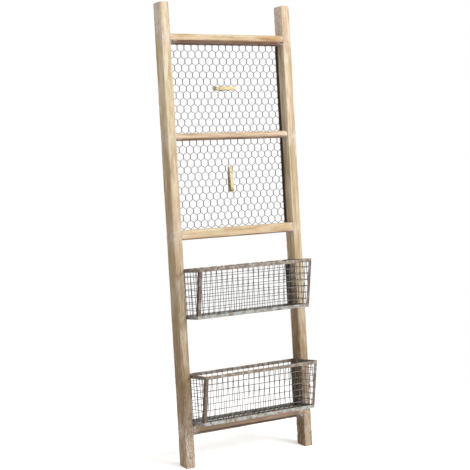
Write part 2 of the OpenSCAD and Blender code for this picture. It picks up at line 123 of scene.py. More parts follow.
class Shape:
    """Points in ladder millimetres and faces, gathered before they become one mesh.
    Each point carries masks from 0 to 1 that the materials read:
    edge is worn edges; under is painted shade on lower faces and shaded sides, and a dark band
    across a clothespin;
    joint is pale filler and wash; low marks the rails' darker, patchier lower parts, and is painted
    highlight on wires."""

    MASKS = ("edge", "under", "joint", "low")

    def __init__(self):
        self.points, self.faces, self.count = [], [], 0
        self.masks = {name: [] for name in self.MASKS}

    def add(self, points, faces, **masks):
        points = np.asarray(points, float).reshape(-1, 3)
        self.points.append(points)
        self.faces.extend([tuple(i + self.count for i in face) for face in faces])
        self.count += len(points)
        for name in self.MASKS:
            self.masks[name].append(np.broadcast_to(masks.get(name, 0.0), len(points)))

    def skin(self, rings, loop=False, **masks):
        """Skin over rings of points, each ring closed; open ends are capped."""
        rings = np.asarray(rings, float)
        n, k = rings.shape[:2]
        faces = []
        for i in range(n if loop else n - 1):
            a, b = i * k, ((i + 1) % n) * k
            for j in range(k):
                j2 = (j + 1) % k
                faces.append((a + j, a + j2, b + j2, b + j))
        if not loop:
            faces.append(tuple(range(k - 1, -1, -1)))
            faces.append(tuple(range((n - 1) * k, n * k)))
        flat = {name: np.asarray(values).reshape(-1) for name, values in masks.items()}
        self.add(rings.reshape(-1, 3), faces, **flat)

    def tube(self, path, radius, sides=8, across=(0, 1, 0), low=0.0):
        """Round wire along a path; `across` is a direction that the path never runs along."""
        path = np.asarray(path, float)
        ahead = directions(path)
        u = np.cross(ahead, np.asarray(across, float))
        u /= np.linalg.norm(u, axis=1)[:, None]
        v = np.cross(u, ahead)
        turn = full_turn(sides)
        ring = np.cos(turn)[None, :, None] * u[:, None] + np.sin(turn)[None, :, None] * v[:, None]
        self.skin(path[:, None] + ring * radius, low=np.full(ring.shape[:2], low))

    def make(self, name, material, body, slot, replaces, sharp=40):
        """Turn the gathered shape into a visible piece; edges over `sharp` degrees stay crisp."""
        mesh = bpy.data.meshes.new(name)
        mesh.from_pydata(to_world(np.concatenate(self.points)).tolist(), [], self.faces)
        for mask, values in self.masks.items():
            attribute = mesh.attributes.new(mask, "FLOAT", "POINT")
            attribute.data.foreach_set("value", np.concatenate(values).astype(np.float32))
        bm = bmesh.new()
        bm.from_mesh(mesh)
        bmesh.ops.recalc_face_normals(bm, faces=bm.faces)
        bm.to_mesh(mesh)
        bm.free()
        mesh.shade_smooth()
        mesh.set_sharp_from_angle(angle=math.radians(sharp))
        mesh.materials.append(material)
        obj = bpy.data.objects.new(name + "_detailed", mesh)
        add_to_scene(obj)
        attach(obj, body)
        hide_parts(*replaces)
        return obj


def waver(x, y, z, seed=0.0):
    """Smooth noise from -1 to 1."""
    return noise.noise(Vector((x + 17.3 * seed, y - 9.1 * seed, z + 4.7 * seed)))


def rounded_outline(w, h, r, arc=5, flat=4):
    """Closed outline of a rectangle with round corners, centred on zero.
    Returns its points, its outward directions and how far each point is into a corner."""
    points, outward, edge = [], [], []
    corners = [(1, 1, 0), (-1, 1, 90), (-1, -1, 180), (1, -1, 270)]
    for i, (sx, sy, start) in enumerate(corners):
        cx, cy = sx * (w / 2 - r), sy * (h / 2 - r)
        for k in range(arc):
            a = math.radians(start + 90 * k / (arc - 1))
            points.append((cx + r * math.cos(a), cy + r * math.sin(a)))
            outward.append((math.cos(a), math.sin(a)))
            edge.append(math.sin(math.pi * k / (arc - 1)) * 0.6 + 0.4)
        nx, ny, _ = corners[(i + 1) % 4]
        a = math.radians(start + 90)
        end = (nx * (w / 2 - r) + r * math.cos(a), ny * (h / 2 - r) + r * math.sin(a))
        last = points[-1]
        for k in range(1, flat + 1):
            t = k / (flat + 1)
            points.append((last[0] + (end[0] - last[0]) * t, last[1] + (end[1] - last[1]) * t))
            outward.append((math.cos(a), math.sin(a)))
            edge.append(0.0)
    return np.array(points), np.array(outward), np.array(edge)


def bent_path(corners, radius, steps=5):
    """Path through the corners, each inner corner rounded."""
    corners = [np.asarray(c, float) for c in corners]
    path = [corners[0]]
    for a, b, c in zip(corners, corners[1:], corners[2:]):
        start = b + (a - b) / np.linalg.norm(a - b) * radius
        end = b + (c - b) / np.linalg.norm(c - b) * radius
        for k in range(steps + 1):
            t = k / steps
            path.append(start * (1 - t) ** 2 + b * 2 * t * (1 - t) + end * t * t)
    path.append(corners[-1])
    return np.array(path)


# ------------------------ materials


def rgb(r, g, b):
    """Screen colour from 0 to 255 as a linear colour."""
    return tuple(
        c / 255 / 12.92 if c <= 10 else ((c / 255 + 0.055) / 1.055) ** 2.4 for c in (r, g, b)
    ) + (1.0,)


def between(a, b, share):
    """Colour between two colours."""
    return tuple(x * (1 - share) + y * share for x, y in zip(a, b))


class Graph:
    """A node material under construction. Its methods return output sockets, and wherever one
    takes a value, it takes a number or colour, or another node's output."""

    # A Mix node has sockets for every kind of data; these are the colour ones.
    MIX_FACTOR, MIX_A, MIX_B, MIX_RESULT = 0, 6, 7, 2

    def __init__(self, name):
        self.material = bpy.data.materials.new(name)
        self.material.use_nodes = True
        self.tree = self.material.node_tree
        self.tree.nodes.clear()
        self.shader = self.tree.nodes.new("ShaderNodeBsdfPrincipled")
        output = self.tree.nodes.new("ShaderNodeOutputMaterial")
        self.tree.links.new(self.shader.outputs["BSDF"], output.inputs["Surface"])

    def put(self, socket, value):
        if isinstance(value, bpy.types.NodeSocket):
            self.tree.links.new(value, socket)
        else:
            socket.default_value = value

    def node(self, kind, sockets=(), **settings):
        node = self.tree.nodes.new("ShaderNode" + kind)
        for name, value in settings.items():
            setattr(node, name, value)
        for socket, value in dict(sockets).items():
            self.put(node.inputs[socket], value)
        return node

    def place(self, grain="up", shift=(0, 0, 0)):
        """Position in metres along the ladder's own axes, with the grain running up or across."""
        position = self.node("TexCoord").outputs["Object"]
        level = {"Vector": position, "Rotation": (LEAN, 0, 0), "Location": shift}
        position = self.node("Mapping", level).outputs["Vector"]
        if grain == "across":
            turned = {"Vector": position, "Rotation": (0, math.pi / 2, 0)}
            position = self.node("Mapping", turned).outputs["Vector"]
        return position

    def scaled(self, position, x, y, z):
        return self.node("Mapping", {"Vector": position, "Scale": (x, y, z)}).outputs["Vector"]

    def noise(self, position, scale, detail=4.0, roughness=0.55, distortion=0.0):
        sockets = {"Vector": position, "Scale": scale, "Detail": detail,
                   "Roughness": roughness, "Distortion": distortion}
        return self.node("TexNoise", sockets).outputs["Fac"]

    def grain(self, position, stretch, *settings):
        """Noise drawn out along the grain; the smaller stretch is, the longer its streaks."""
        return self.noise(self.scaled(position, 1, 1, stretch), *settings)

    def band(self, value, low, high):
        """0 at low, 1 at high, smooth between; low may be above high."""
        sockets = {"Value": value, "From Min": low, "From Max": high}
        node = self.node("MapRange", sockets, interpolation_type="SMOOTHSTEP")
        return node.outputs["Result"]

    def math(self, operation, a, b):
        return self.node("Math", {0: a, 1: b}, operation=operation).outputs[0]

    def times(self, a, b):
        return self.math("MULTIPLY", a, b)

    def mask(self, name):
        return self.node("Attribute", attribute_name=name).outputs["Fac"]

    def mix(self, amount, a, b, blend="MIX"):
        node = self.node("Mix", data_type="RGBA", blend_type=blend)
        self.put(node.inputs[self.MIX_FACTOR], amount)
        self.put(node.inputs[self.MIX_A], a)
        self.put(node.inputs[self.MIX_B], b)
        return node.outputs[self.MIX_RESULT]

    def layer(self, colour, where, share, over):
        """The colour with another laid over it where the mask says, by share at most."""
        return self.mix(self.times(where, share), colour, over)

    def ramp(self, value, *stops):
        node = self.node("ValToRGB", {"Fac": value})
        elements = node.color_ramp.elements
        while len(elements) < len(stops):
            elements.new(0.5)
        for element, (at, colour) in zip(elements, stops):
            element.position = at
            element.color = colour
        return node.outputs["Color"]

    def bump(self, height, strength, distance):
        sockets = {"Height": height, "Strength": strength, "Distance": distance}
        return self.node("Bump", sockets).outputs["Normal"]

    def finish(self, colour, roughness, metallic=0.0, normal=None):
        self.put(self.shader.inputs["Base Color"], colour)
        self.put(self.shader.inputs["Roughness"], roughness)
        self.put(self.shader.inputs["Metallic"], metallic)
        if normal is not None:
            self.put(self.shader.inputs["Normal"], normal)
        return self.material


YELLOWED, REDDENED, GREYED = rgb(176, 156, 108), rgb(176, 138, 120), rgb(132, 126, 106)
WHITEWASH, FADED_WASH, JOINT_FILLER = rgb(212, 202, 184), rgb(192, 178, 158), rgb(196, 186, 178)
DIRT, BARE_EDGE, SCUFF, DARK_SCUFF = (
    rgb(92, 68, 48), rgb(208, 194, 168), rgb(110, 82, 56), rgb(84, 64, 52)
)
KNOT, CRACK, LOWER_TINT = rgb(104, 70, 44), rgb(70, 50, 36), rgb(202, 190, 180)


def weathered_wood(name, light, middle, dark, under, grain="up", shift=(0, 0, 0), wash=0.5):
    """Old softwood with a worn whitewash: growth rings, fine grain, patches, dirt and knots, and
    painted shade on lower faces and shaded sides.
    """
    g = Graph(name)
    p = g.place(grain, shift)

    # Growth rings, streaks and slow changes of tint.
    streaks = g.grain(p, 0.045, 135, 7, 0.66, 0.3)
    fine = g.grain(p, 0.02, 620, 7, 0.72)
    patches = g.grain(p, 0.22, 22, 4, 0.6)
    tints = g.grain(p, 0.16, 13, 2, 0.5)
    rings = g.node(
        "TexWave",
        {"Vector": g.scaled(p, 1, 1, 0.06), "Scale": 62.0, "Distortion": 5.5, "Detail": 3.0,
         "Detail Scale": 1.4},
        wave_type="RINGS", rings_direction="Z", wave_profile="SAW",
    ).outputs["Fac"]
    colour = g.ramp(streaks, (0.30, dark), (0.47, middle), (0.66, light))
    colour = g.mix(g.band(rings, 0.55, 1.0), colour, g.mix(0.42, colour, dark))
    colour = g.layer(colour, g.band(tints, 0.50, 0.64), 0.38, YELLOWED)
    colour = g.layer(colour, g.band(tints, 0.46, 0.34), 0.34, REDDENED)
    colour = g.layer(colour, g.band(patches, 0.44, 0.30), 0.42, GREYED)

    # What is left of the whitewash.
    chalk = g.grain(p, 0.12, 95, 6, 0.68)
    washed = g.times(g.band(g.math("ADD", patches, g.times(chalk, 0.5)), 0.70, 0.88), wash)
    colour = g.mix(washed, colour, WHITEWASH)

    # Painted shade on lower faces and on sides turned from the light, with a ragged border.
    underside = g.math("ADD", g.mask("under"), g.times(g.math("SUBTRACT", streaks, 0.5), 0.9))
    colour = g.mix(g.band(underside, 0.30, 0.80), colour, under)

    # Dirt in the grain and wear along the edges.
    dirt = g.grain(p, 0.05, 210, 8, 0.7)
    colour = g.layer(colour, g.band(dirt, 0.60, 0.72), 0.62, DIRT)
    worn = g.times(g.mask("edge"), g.band(chalk, 0.40, 0.62))
    colour = g.layer(colour, worn, 0.40, BARE_EDGE)
    scuffed = g.times(g.mask("edge"), g.band(dirt, 0.50, 0.60))
    colour = g.layer(colour, scuffed, 0.45, SCUFF)
    colour = g.layer(colour, g.band(fine, 0.52, 0.34), 0.30, g.mix(0.5, colour, dark))

    # Knots in some of the cells of a coarse pattern, and thin cracks.
    cells = g.node("TexVoronoi", {"Vector": g.scaled(p, 1, 1, 0.33), "Scale": 9.0})
    some = g.node("SeparateColor", {"Color": cells.outputs["Color"]}).outputs[0]
    knot = g.times(g.band(cells.outputs["Distance"], 0.16, 0.05), g.band(some, 0.74, 0.76))
    colour = g.layer(colour, knot, 0.7, KNOT)
    cracks = g.band(g.grain(p, 0.018, 260, 5, 0.62), 0.655, 0.70)
    colour = g.layer(colour, cracks, 0.75, CRACK)

    # The rails' lower parts: a darker tint, grime, faded wash and darker scuffs on the edges.
    low = g.times(g.mask("low"), g.math("ADD", 0.75, g.times(patches, 0.5)))
    colour = g.mix(low, colour, g.mix(1.0, colour, LOWER_TINT, "MULTIPLY"))
    grime = g.grain(p, 0.14, 170, 6, 0.72)
    colour = g.layer(colour, g.times(g.mask("low"), g.band(grime, 0.52, 0.60)), 0.75, dark)
    colour = g.layer(colour, g.times(g.mask("low"), g.band(grime, 0.46, 0.39)), 0.42, FADED_WASH)
    worn_low = g.times(g.times(g.mask("edge"), g.mask("low")), g.band(dirt, 0.40, 0.52))
    colour = g.layer(colour, worn_low, 0.7, DARK_SCUFF)

    # Pale filler and wash that collects at the joints.
    flecks = g.grain(p, 0.35, 260, 5, 0.7)
    joint = g.times(g.mask("joint"), g.band(flecks, 0.44, 0.56))
    colour = g.layer(colour, joint, 0.62, JOINT_FILLER)

    # Relief: grain, open cracks and saw marks across the grain.
    saw = g.noise(g.scaled(p, 0.25, 0.25, 1), 900, 2, 0.5)
    height = g.math("ADD", g.times(fine, 0.5), g.times(streaks, 0.6))
    height = g.math("SUBTRACT", height, g.times(cracks, 0.9))
    height = g.math("ADD", height, g.times(saw, 0.16))
    roughness = g.math("ADD", g.times(streaks, 0.22), 0.66)
    return g.finish(colour, roughness, 0.0, g.bump(height, 0.55, 0.0008))


BRIGHT_ZINC, WIRE_HIGHLIGHT, CHALKY = rgb(196, 198, 190), rgb(140, 134, 128), rgb(186, 180, 166)


def rusty_steel(name, zinc, rust, dark, amount, metallic=0.45, shift=(0, 0, 0), grit=1.0):
    """Galvanised steel that has gone dull and rusted in patches; amount is how much has rusted."""
    g = Graph(name)
    p = g.place("up", shift)
    broad = g.noise(p, 60, 4, 0.6, 0.4)
    blotch = g.noise(p, 170, 6, 0.68, 0.6)
    specks = g.noise(p, 620, 4, 0.7)
    cells = g.node("TexVoronoi", {"Vector": p, "Scale": 260.0}).outputs["Color"]
    spangle = g.node("SeparateColor", {"Color": cells}).outputs[0]
    colour = g.layer(zinc, spangle, 0.22, g.mix(0.5, zinc, BRIGHT_ZINC))

    level = g.math("ADD", g.times(broad, 0.6), g.times(blotch, 0.4))
    level = g.math("ADD", level, g.times(g.mask("edge"), 0.05))
    rusted = g.band(level, 0.62 - amount * 0.24, 0.70 - amount * 0.24)
    rusts = g.ramp(blotch, (0.36, dark), (0.52, rust), (0.68, between(rust, zinc, 0.35)))
    colour = g.mix(rusted, colour, rusts)
    # Painted shade where the mask says, on the rims' sides and the uprights' faces towards the
    # rails.
    colour = g.layer(colour, g.mask("under"), 0.85, dark)
    # Painted highlight: the wires that the low mask marks are paler.
    colour = g.mix(g.mask("low"), colour, WIRE_HIGHLIGHT)
    colour = g.layer(colour, g.band(specks, 0.60, 0.70), 0.65, dark)
    colour = g.layer(colour, g.band(specks, 0.40, 0.30), 0.30, CHALKY)

    shine = g.math("SUBTRACT", metallic, g.times(rusted, metallic * 0.75))
    roughness = g.math("ADD", g.times(rusted, 0.26), g.math("ADD", g.times(blotch, 0.2), 0.36))
    height = g.math("ADD", g.times(specks, 0.5), g.times(blotch, 0.5))
    return g.finish(colour, roughness, shine, g.bump(height, 0.35 * grit, 0.0004))


def clothespin_wood(name, grain, shift):
    """Pale birch with fine straight grain."""
    g = Graph(name)
    p = g.place(grain, shift)
    fine = g.grain(p, 0.05, 1100, 5, 0.65)
    broad = g.grain(p, 0.12, 220, 4, 0.55)
    colour = g.ramp(broad, (0.35, rgb(184, 166, 124)), (0.65, rgb(206, 193, 156)))
    colour = g.layer(colour, g.band(fine, 0.55, 0.40), 0.45, rgb(152, 128, 88))
    colour = g.layer(colour, g.mask("edge"), 0.35, rgb(156, 134, 94))
    # A dark band across the pin where the mask says.
    colour = g.layer(colour, g.mask("under"), 0.85, rgb(74, 62, 46))
    roughness = g.math("ADD", g.times(fine, 0.2), 0.55)
    return g.finish(colour, roughness, 0.0, g.bump(fine, 0.25, 0.0002))


def pale_floor(name):
    """White studio floor that goes over into the white backdrop away from the ladder."""
    g = Graph(name)
    position = g.node("TexCoord").outputs["Object"]
    speckle = g.noise(position, 8, 3, 0.5)
    distance = g.node("VectorMath", {0: position}, operation="LENGTH").outputs["Value"]
    far = g.band(distance, 0.35, 1.3)
    colour = g.ramp(speckle, (0.4, rgb(250, 250, 250)), (0.6, rgb(252, 252, 252)))
    colour = g.mix(far, colour, rgb(0, 0, 0))
    g.put(g.shader.inputs["Emission Color"], rgb(255, 255, 255))
    g.put(g.shader.inputs["Emission Strength"], g.math("ADD", g.times(far, 0.8), 0.2))
    g.put(g.shader.inputs["Specular IOR Level"], 0.0)
    return g.finish(colour, 0.9)


RAIL_TONES = {
    "light": rgb(193, 178, 153), "middle": rgb(172, 150, 116), "dark": rgb(118, 94, 66),
    "under": rgb(116, 88, 52),
}
left_rail_wood = weathered_wood("left_rail_wood", **RAIL_TONES, shift=(0.31, 0.05, 0.0))
right_rail_wood = weathered_wood("right_rail_wood", **RAIL_TONES, shift=(-0.17, 0.06, 0.63))
top_rung_wood = weathered_wood(
    "top_rung_wood", rgb(180, 157, 110), rgb(156, 121, 78), rgb(108, 74, 44), rgb(80, 48, 27),
    "across", (0.0, 0.05, -1.29), 0.35,
)
middle_rung_wood = weathered_wood(
    "middle_rung_wood", rgb(196, 174, 148), rgb(168, 138, 110), rgb(116, 84, 62),
    rgb(104, 70, 48), "across", (0.2, 0.04, -0.97), 0.25,
)
third_rung_wood = weathered_wood(
    "third_rung_wood", rgb(198, 178, 144), rgb(176, 147, 110), rgb(128, 98, 68),
    rgb(96, 66, 46), "across", (0.5, 0.05, -0.67), 0.3,
)
# The bottom rung's tones are darker than the other rungs': its own tone with painted shadow from the
# lower basket laid in.
bottom_rung_wood = weathered_wood(
    "bottom_rung_wood", rgb(154, 130, 102), rgb(124, 100, 74), rgb(86, 66, 48),
    rgb(62, 46, 36), "across", (0.9, 0.05, -0.06), 0.2,
)
dowel_wood = weathered_wood(
    "dowel_wood", rgb(196, 174, 138), rgb(178, 150, 110), rgb(146, 114, 80),
    rgb(146, 114, 80), "across", (1.4, 0.2, 0.1), 0.1,
)
ZINC, DARK_RUST = rgb(138, 132, 124), rgb(58, 46, 40)
rim_steel = rusty_steel("rim_steel", rgb(148, 141, 132), rgb(122, 104, 90), rgb(74, 60, 52), 0.55)
upright_steel = rusty_steel("upright_steel", ZINC, rgb(104, 84, 72), DARK_RUST, 0.7)
floor_rim_steel = rusty_steel(
    "floor_rim_steel", rgb(160, 163, 161), rgb(128, 118, 106), rgb(78, 70, 62), 0.42
)
rear_steel = rusty_steel("rear_steel", rgb(128, 132, 118), rgb(84, 66, 50), DARK_RUST, 0.6)
dark_steel = rusty_steel("dark_steel", rgb(82, 68, 56), rgb(66, 48, 34), rgb(36, 26, 20), 1.0, 0.3)
grid_steel = rusty_steel(
    "grid_steel", rgb(58, 54, 52), rgb(54, 44, 38), rgb(34, 30, 28), 0.45, 0.15, grit=0.5
)
mesh_steel = rusty_steel(
    "mesh_steel", rgb(38, 35, 37), rgb(36, 31, 29), rgb(24, 21, 22), 0.35, 0.1, grit=0.4
)
spring_steel = rusty_steel(
    "spring_steel", rgb(120, 114, 106), rgb(90, 72, 56), rgb(56, 46, 38), 0.3, 0.7, grit=0.3
)
upper_pin_wood = clothespin_wood("upper_pin_wood", "across", (0.2, 0.1, 0.0))
lower_pin_wood = clothespin_wood("lower_pin_wood", "up", (0.7, 0.3, 0.2))


# ------------------------ rails and rungs


def nicks(seed, count, length, deepest):
    """Random dents along the four edges, as corner, place, half length and depth."""
    rng = random.Random(seed)
    return [
        (rng.randrange(4), rng.uniform(0, length), rng.uniform(2, 9), rng.uniform(0.4, deepest))
        for _ in range(count)
    ]


def timber(length, w, h, r, place, seed, wear, dents, ends=((0, 0), (0, 0))):
    """Worn bar of wood, as rings of points, how far each point is into an edge, and the rings'
    places along the bar. place(a, b, s) turns a profile point and a distance along the bar into
    ladder millimetres; ends gives how far in and how far along each end is rounded."""
    points, outward, edge = rounded_outline(w, h, r)
    corner = (np.arange(len(points)) // (len(points) // 4)).tolist()
    (start_in, start_along), (end_in, end_along) = ends
    stations = np.linspace(0, length, max(8, int(length / 5)) + 1).tolist()
    stations = sorted(
        [s for s in stations if start_along < s < length - end_along]
        + [0, start_along * 0.35, start_along]
        + [length - end_along, length - end_along * 0.35, length]
    )
    rings, masks = [], []
    for s in stations:
        shrink = 0.0
        if start_along and s < start_along:
            shrink = start_in * (1 - s / start_along) ** 2
        if end_along and s > length - end_along:
            shrink = end_in * (1 - (length - s) / end_along) ** 2
        ring = []
        for (a, b), (out_a, out_b), e, c in zip(points, outward, edge, corner):
            slow = waver(a / 30, b / 30, s / 90, seed)
            quick = waver(a / 6, b / 6, s / 14, seed + 3)
            inward = shrink + 0.12 * (1 + slow) + e * wear * (0.6 + 0.9 * slow + 0.7 * quick)
            for dent_corner, at, half, depth in dents:
                if dent_corner == c and abs(s - at) < 3 * half:
                    inward += e * depth * math.exp(-(((s - at) / half) ** 2))
            inward = max(inward, 0.02)
            ring.append(place(a - out_a * inward, b - out_b * inward, s))
        rings.append(ring)
        masks.append(edge)
    return np.array(rings), np.array(masks), np.array(stations)


def share_between(value, start, end):
    """How far a value is from start, 0, to end, 1; it stays within 0 and 1."""
    return np.clip((value - start) / (end - start), 0, 1)


def build_rail(side, name, material, seed):
    """Rail with its foot cut level: near the floor its depth lifts it along the rail."""
    middle = side * (INNER + RAIL_W / 2)

    def place(a, b, s):
        depth = b + RAIL_D / 2
        cut_level = max(0.0, 1 - s / 90)
        return (middle + a, depth, s + cut_level * depth * math.tan(LEAN))

    dents = nicks(seed, 34, RAIL_LEN, 1.7)
    rings, edge, heights = timber(
        RAIL_LEN - TOP_ROOM, RAIL_W, RAIL_D, RAIL_ROUND, place, seed, wear=0.8, dents=dents,
        ends=((0.9, 2.0), (3.0, 3.0)),
    )
    x, depth, z = rings[:, :, 0], rings[:, :, 1], rings[:, :, 2]

    near_rung = np.zeros_like(heights)
    for rung in (BOTTOM_RUNG, THIRD_RUNG, MIDDLE_RUNG, TOP_RUNG):
        near_rung = np.maximum(near_rung, np.exp(-(((heights - rung) / 26) ** 2)))
    joint = np.repeat(near_rung[:, None], edge.shape[1], axis=1)
    left = middle - RAIL_W / 2
    left_face = share_between(x, left + 2.5, left)
    low = share_between(z, 800, 150)
    low = low * low * (3 - 2 * low)
    above = share_between(z, TOP_RUNG + 10, TOP_RUNG + 22)
    foot = share_between(z, 260, 60) * (depth < 2)

    # Painted shade on the left faces, which face away from the key light; the right rail's is
    # deepest at its foot.
    darker = low * 0.55 if side > 0 else share_between(z, 1150, 800) * 0.25
    under = left_face * (0.27 + darker) * (1 - above)
    pale = np.maximum(above * left_face * 1.6, foot * (0.75 - 0.25 * side))
    shape = Shape()
    shape.skin(rings, edge=edge, joint=np.maximum(joint * 0.8, pale), under=under, low=low)
    shape.make(name, material, "ladder", "rail_wood", [name])


def build_rung(name, height, size, dark_from, material, seed):
    """Rung between the rails; size is its front, depth, height and rounding. Painted shade on its
    lower part starts at dark_from above its middle."""
    front, deep, tall, r = size

    def place(a, b, s):
        return (s - INNER, front + deep / 2 + a, height + b)

    dents = nicks(seed, 9, 2 * INNER, 1.4)
    rings, edge, _ = timber(2 * INNER, deep, tall, r, place, seed, wear=0.9, dents=dents)
    x, z = rings[:, :, 0], rings[:, :, 2]
    joint = np.exp(-(((INNER - np.abs(x)) / 16) ** 2))
    under = share_between(z, height + dark_from, height + dark_from - tall * 0.36)
    shape = Shape()
    shape.skin(rings, edge=edge * 0.6, joint=joint, under=under)
    shape.make(name, material, "ladder", "rung_wood", [name])


FLAT_RUNG = (RUNG_FRONT, RUNG_D, RUNG_H, RUNG_ROUND)
SLIM_RUNG = (MIDDLE_RUNG_FRONT, MIDDLE_RUNG_D, MIDDLE_RUNG_H, MIDDLE_RUNG_ROUND)
build_rail(-1, "left_rail", left_rail_wood, 11)
build_rail(1, "right_rail", right_rail_wood, 12)
build_rung("top_rung", TOP_RUNG, FLAT_RUNG, 2, top_rung_wood, 21)
build_rung("middle_rung", MIDDLE_RUNG, SLIM_RUNG, 0, middle_rung_wood, 22)
build_rung("third_rung", THIRD_RUNG, FLAT_RUNG, -6, third_rung_wood, 23)
build_rung("bottom_rung", BOTTOM_RUNG, FLAT_RUNG, 0, bottom_rung_wood, 24)


def build_dowels():
    """The dowels that join the rungs to the rails, with chamfered ends and glue grooves."""
    places = [(RUNG_FRONT + inset, z) for z in (BOTTOM_RUNG, THIRD_RUNG, TOP_RUNG)
              for inset in (10, RUNG_D - 10)]
    places += [(MIDDLE_RUNG_FRONT + inset, MIDDLE_RUNG) for inset in (8, MIDDLE_RUNG_D - 8)]
    sides, half, r, end_r = 32, 19.8, 3.95, 3.2
    turn = full_turn(sides)
    fluted = 1 - 0.04 * (np.arange(sides) % 4 == 0)
    shape = Shape()
    for side in (-1, 1):
        for depth, height in places:
            rings = []
            for x, ring_r in ((-half, end_r), (1 - half, r), (half - 1, r), (half, end_r)):
                rings.append(np.column_stack((
                    np.full(sides, side * INNER + x),
                    depth + ring_r * fluted * np.cos(turn),
                    height + ring_r * fluted * np.sin(turn),
                )))
            shape.skin(rings)
    shape.make("rung_dowels", dowel_wood, "ladder", "dowel_wood", ["rung_dowels"])


build_dowels()

# ------------------------ chicken-wire panel

WIRE_R = 0.85
TWIST_TURNS, TWIST_PARTS = 2, 14
TWIST_FLAT = 0.35
HALF_PITCH = HEX_PITCH / 2


def twist_row(row):
    return PANEL_TOP - (row + 1.5) * HEX_ROW


def twist_at(row, step):
    """Middle of a twist, slightly out of place as in real netting; step counts half pitches."""
    reach = PANEL_HALF - 2.2
    x = max(-reach, min(reach, step * HEX_PITCH / 2))
    z = twist_row(row)
    slack = min(1.0, (PANEL_HALF - abs(x)) / 20)
    return (
        x + 0.7 * slack * waver(x / 19, row * 1.37, 0.5),
        z + 0.6 * waver(row * 0.93, x / 23, 7.5),
        PANEL_MID + 0.35 * slack * waver(x / 60, z / 60, 3.3),
    )


def netting_wire(home, lean, last):
    """Path of one wire. In even rows it is in the twist at the home step, and in odd rows in the
    next one on the side that lean says, or the last. Its ends run out towards the rows beyond."""
    path = []
    for row in range(-1, LAST_ROW + 1):
        step, other = (home, home + lean) if row % 2 == 0 else (home + lean, home)
        if abs(step) * HALF_PITCH > PANEL_HALF:
            step = int(math.copysign(last, step))
        x, z, y = twist_at(row, step)
        if not path:
            drift = (home - step) * HALF_PITCH
            path.append((x + 0.62 * drift, y, z + TWIST_HALF + 3.4))
        start = math.pi if lean < 0 else 0.0
        for k in range(TWIST_PARTS + 1):
            a = start + 2 * math.pi * TWIST_TURNS * k / TWIST_PARTS
            path.append((
                x + WIRE_R * math.cos(a),
                y + TWIST_FLAT * math.sin(a),
                z + TWIST_HALF * (1 - 2 * k / TWIST_PARTS),
            ))
        if row == LAST_ROW:
            drift = (other - step) * HALF_PITCH
            path.append((x + 0.62 * drift, y, z - TWIST_HALF - 3.4))
    return path


def build_wire_panel():
    """Netting of zigzag wires: each runs down the panel and is wound round its left neighbour
    in one row and round its right neighbour in the next. A thicker wire closes each side."""
    shape = Shape()
    last = math.floor((PANEL_HALF - 2) / HALF_PITCH)
    for home in [step for step in range(-last - 1, last + 2) if step % 2]:
        for lean in (-1, 1):
            if abs(home + lean) * HALF_PITCH <= PANEL_HALF:
                shape.tube(netting_wire(home, lean, last), WIRE_R, 6)
    for side in (-1, 1):
        heights = np.linspace(PANEL_TOP - 1, PANEL_BOTTOM + 1, 140)
        edge = [(side * (PANEL_HALF - 1.2 + 0.3 * waver(h / 30, side, 0)), PANEL_MID, h)
                for h in heights]
        shape.tube(edge, WIRE_R * 1.4, 6)
    shape.make("wire_panel", mesh_steel, "ladder", "chicken_wire", ["wire_panel"], 60)


build_wire_panel()

# ------------------------ strips and fastenings


def build_bar(shape, start_ring, end_ring, parts, dents, seed, under=0.0):
    """Thin strip of steel skinned from one end section to the other, slightly dented.
    under says how much painted shade each point of the section gets."""
    start_ring, end_ring = np.asarray(start_ring, float), np.asarray(end_ring, float)
    rings = []
    for k in range(parts + 1):
        t = k / parts
        ring = start_ring * (1 - t) + end_ring * t
        p = ring.mean(axis=0)
        shove = [waver(p[0] / 25, p[1] / 25, p[2] / 25 + 9 * axis, seed) for axis in range(3)]
        rings.append(ring + dents * math.sin(math.pi * t) ** 0.5 * np.array(shove))
    edge = np.ones((parts + 1, len(start_ring)))
    shape.skin(rings, edge=edge, under=np.broadcast_to(np.asarray(under, float), edge.shape))


def strip_outline(w, t):
    """Outline of a flat strip w wide and t thick with softened edges, from (0, 0)."""
    r = t * 0.32
    outline = []
    for cx, cy, start in ((w - r, t - r, 0), (r, t - r, 90), (r, r, 180), (w - r, r, 270)):
        for k in range(3):
            a = math.radians(start + 45 * k)
            outline.append((cx + r * math.cos(a), cy + r * math.sin(a)))
    return outline


def angle_outline(w, t, bend=1.6):
    """Outline of an angle strip: legs w long and t thick along both axes, with a round bend."""
    inner = max(bend - t, 0.3)
    outline = [(w, 0.3), (w, t - 0.3), (w - 0.3, t)]
    for k in range(4):
        a = math.radians(270 - 30 * k)
        outline.append((t + inner + inner * math.cos(a), t + inner + inner * math.sin(a)))
    outline += [(t, w - 0.3), (t - 0.3, w), (0.3, w), (0, w - 0.3)]
    for k in range(5):
        a = math.radians(180 + 22.5 * k)
        outline.append((bend + bend * math.cos(a), bend + bend * math.sin(a)))
    outline.append((w - 0.3, 0))
    return outline


for side, name in ((-1, "left_edge_strip"), (1, "right_edge_strip")):
    strip = Shape()
    section = strip_outline(EDGE_STRIP_W, EDGE_STRIP_T)
    ends = [[(side * (INNER - b), EDGE_STRIP_FRONT + a, z) for a, b in section]
            for z in (EDGE_STRIP_BOTTOM + 0.4, EDGE_STRIP_TOP - 0.4)]
    build_bar(strip, ends[0], ends[1], 60, 0.0, side)
    strip.make(name, dark_steel, "ladder", "dark_strip_steel", [name])


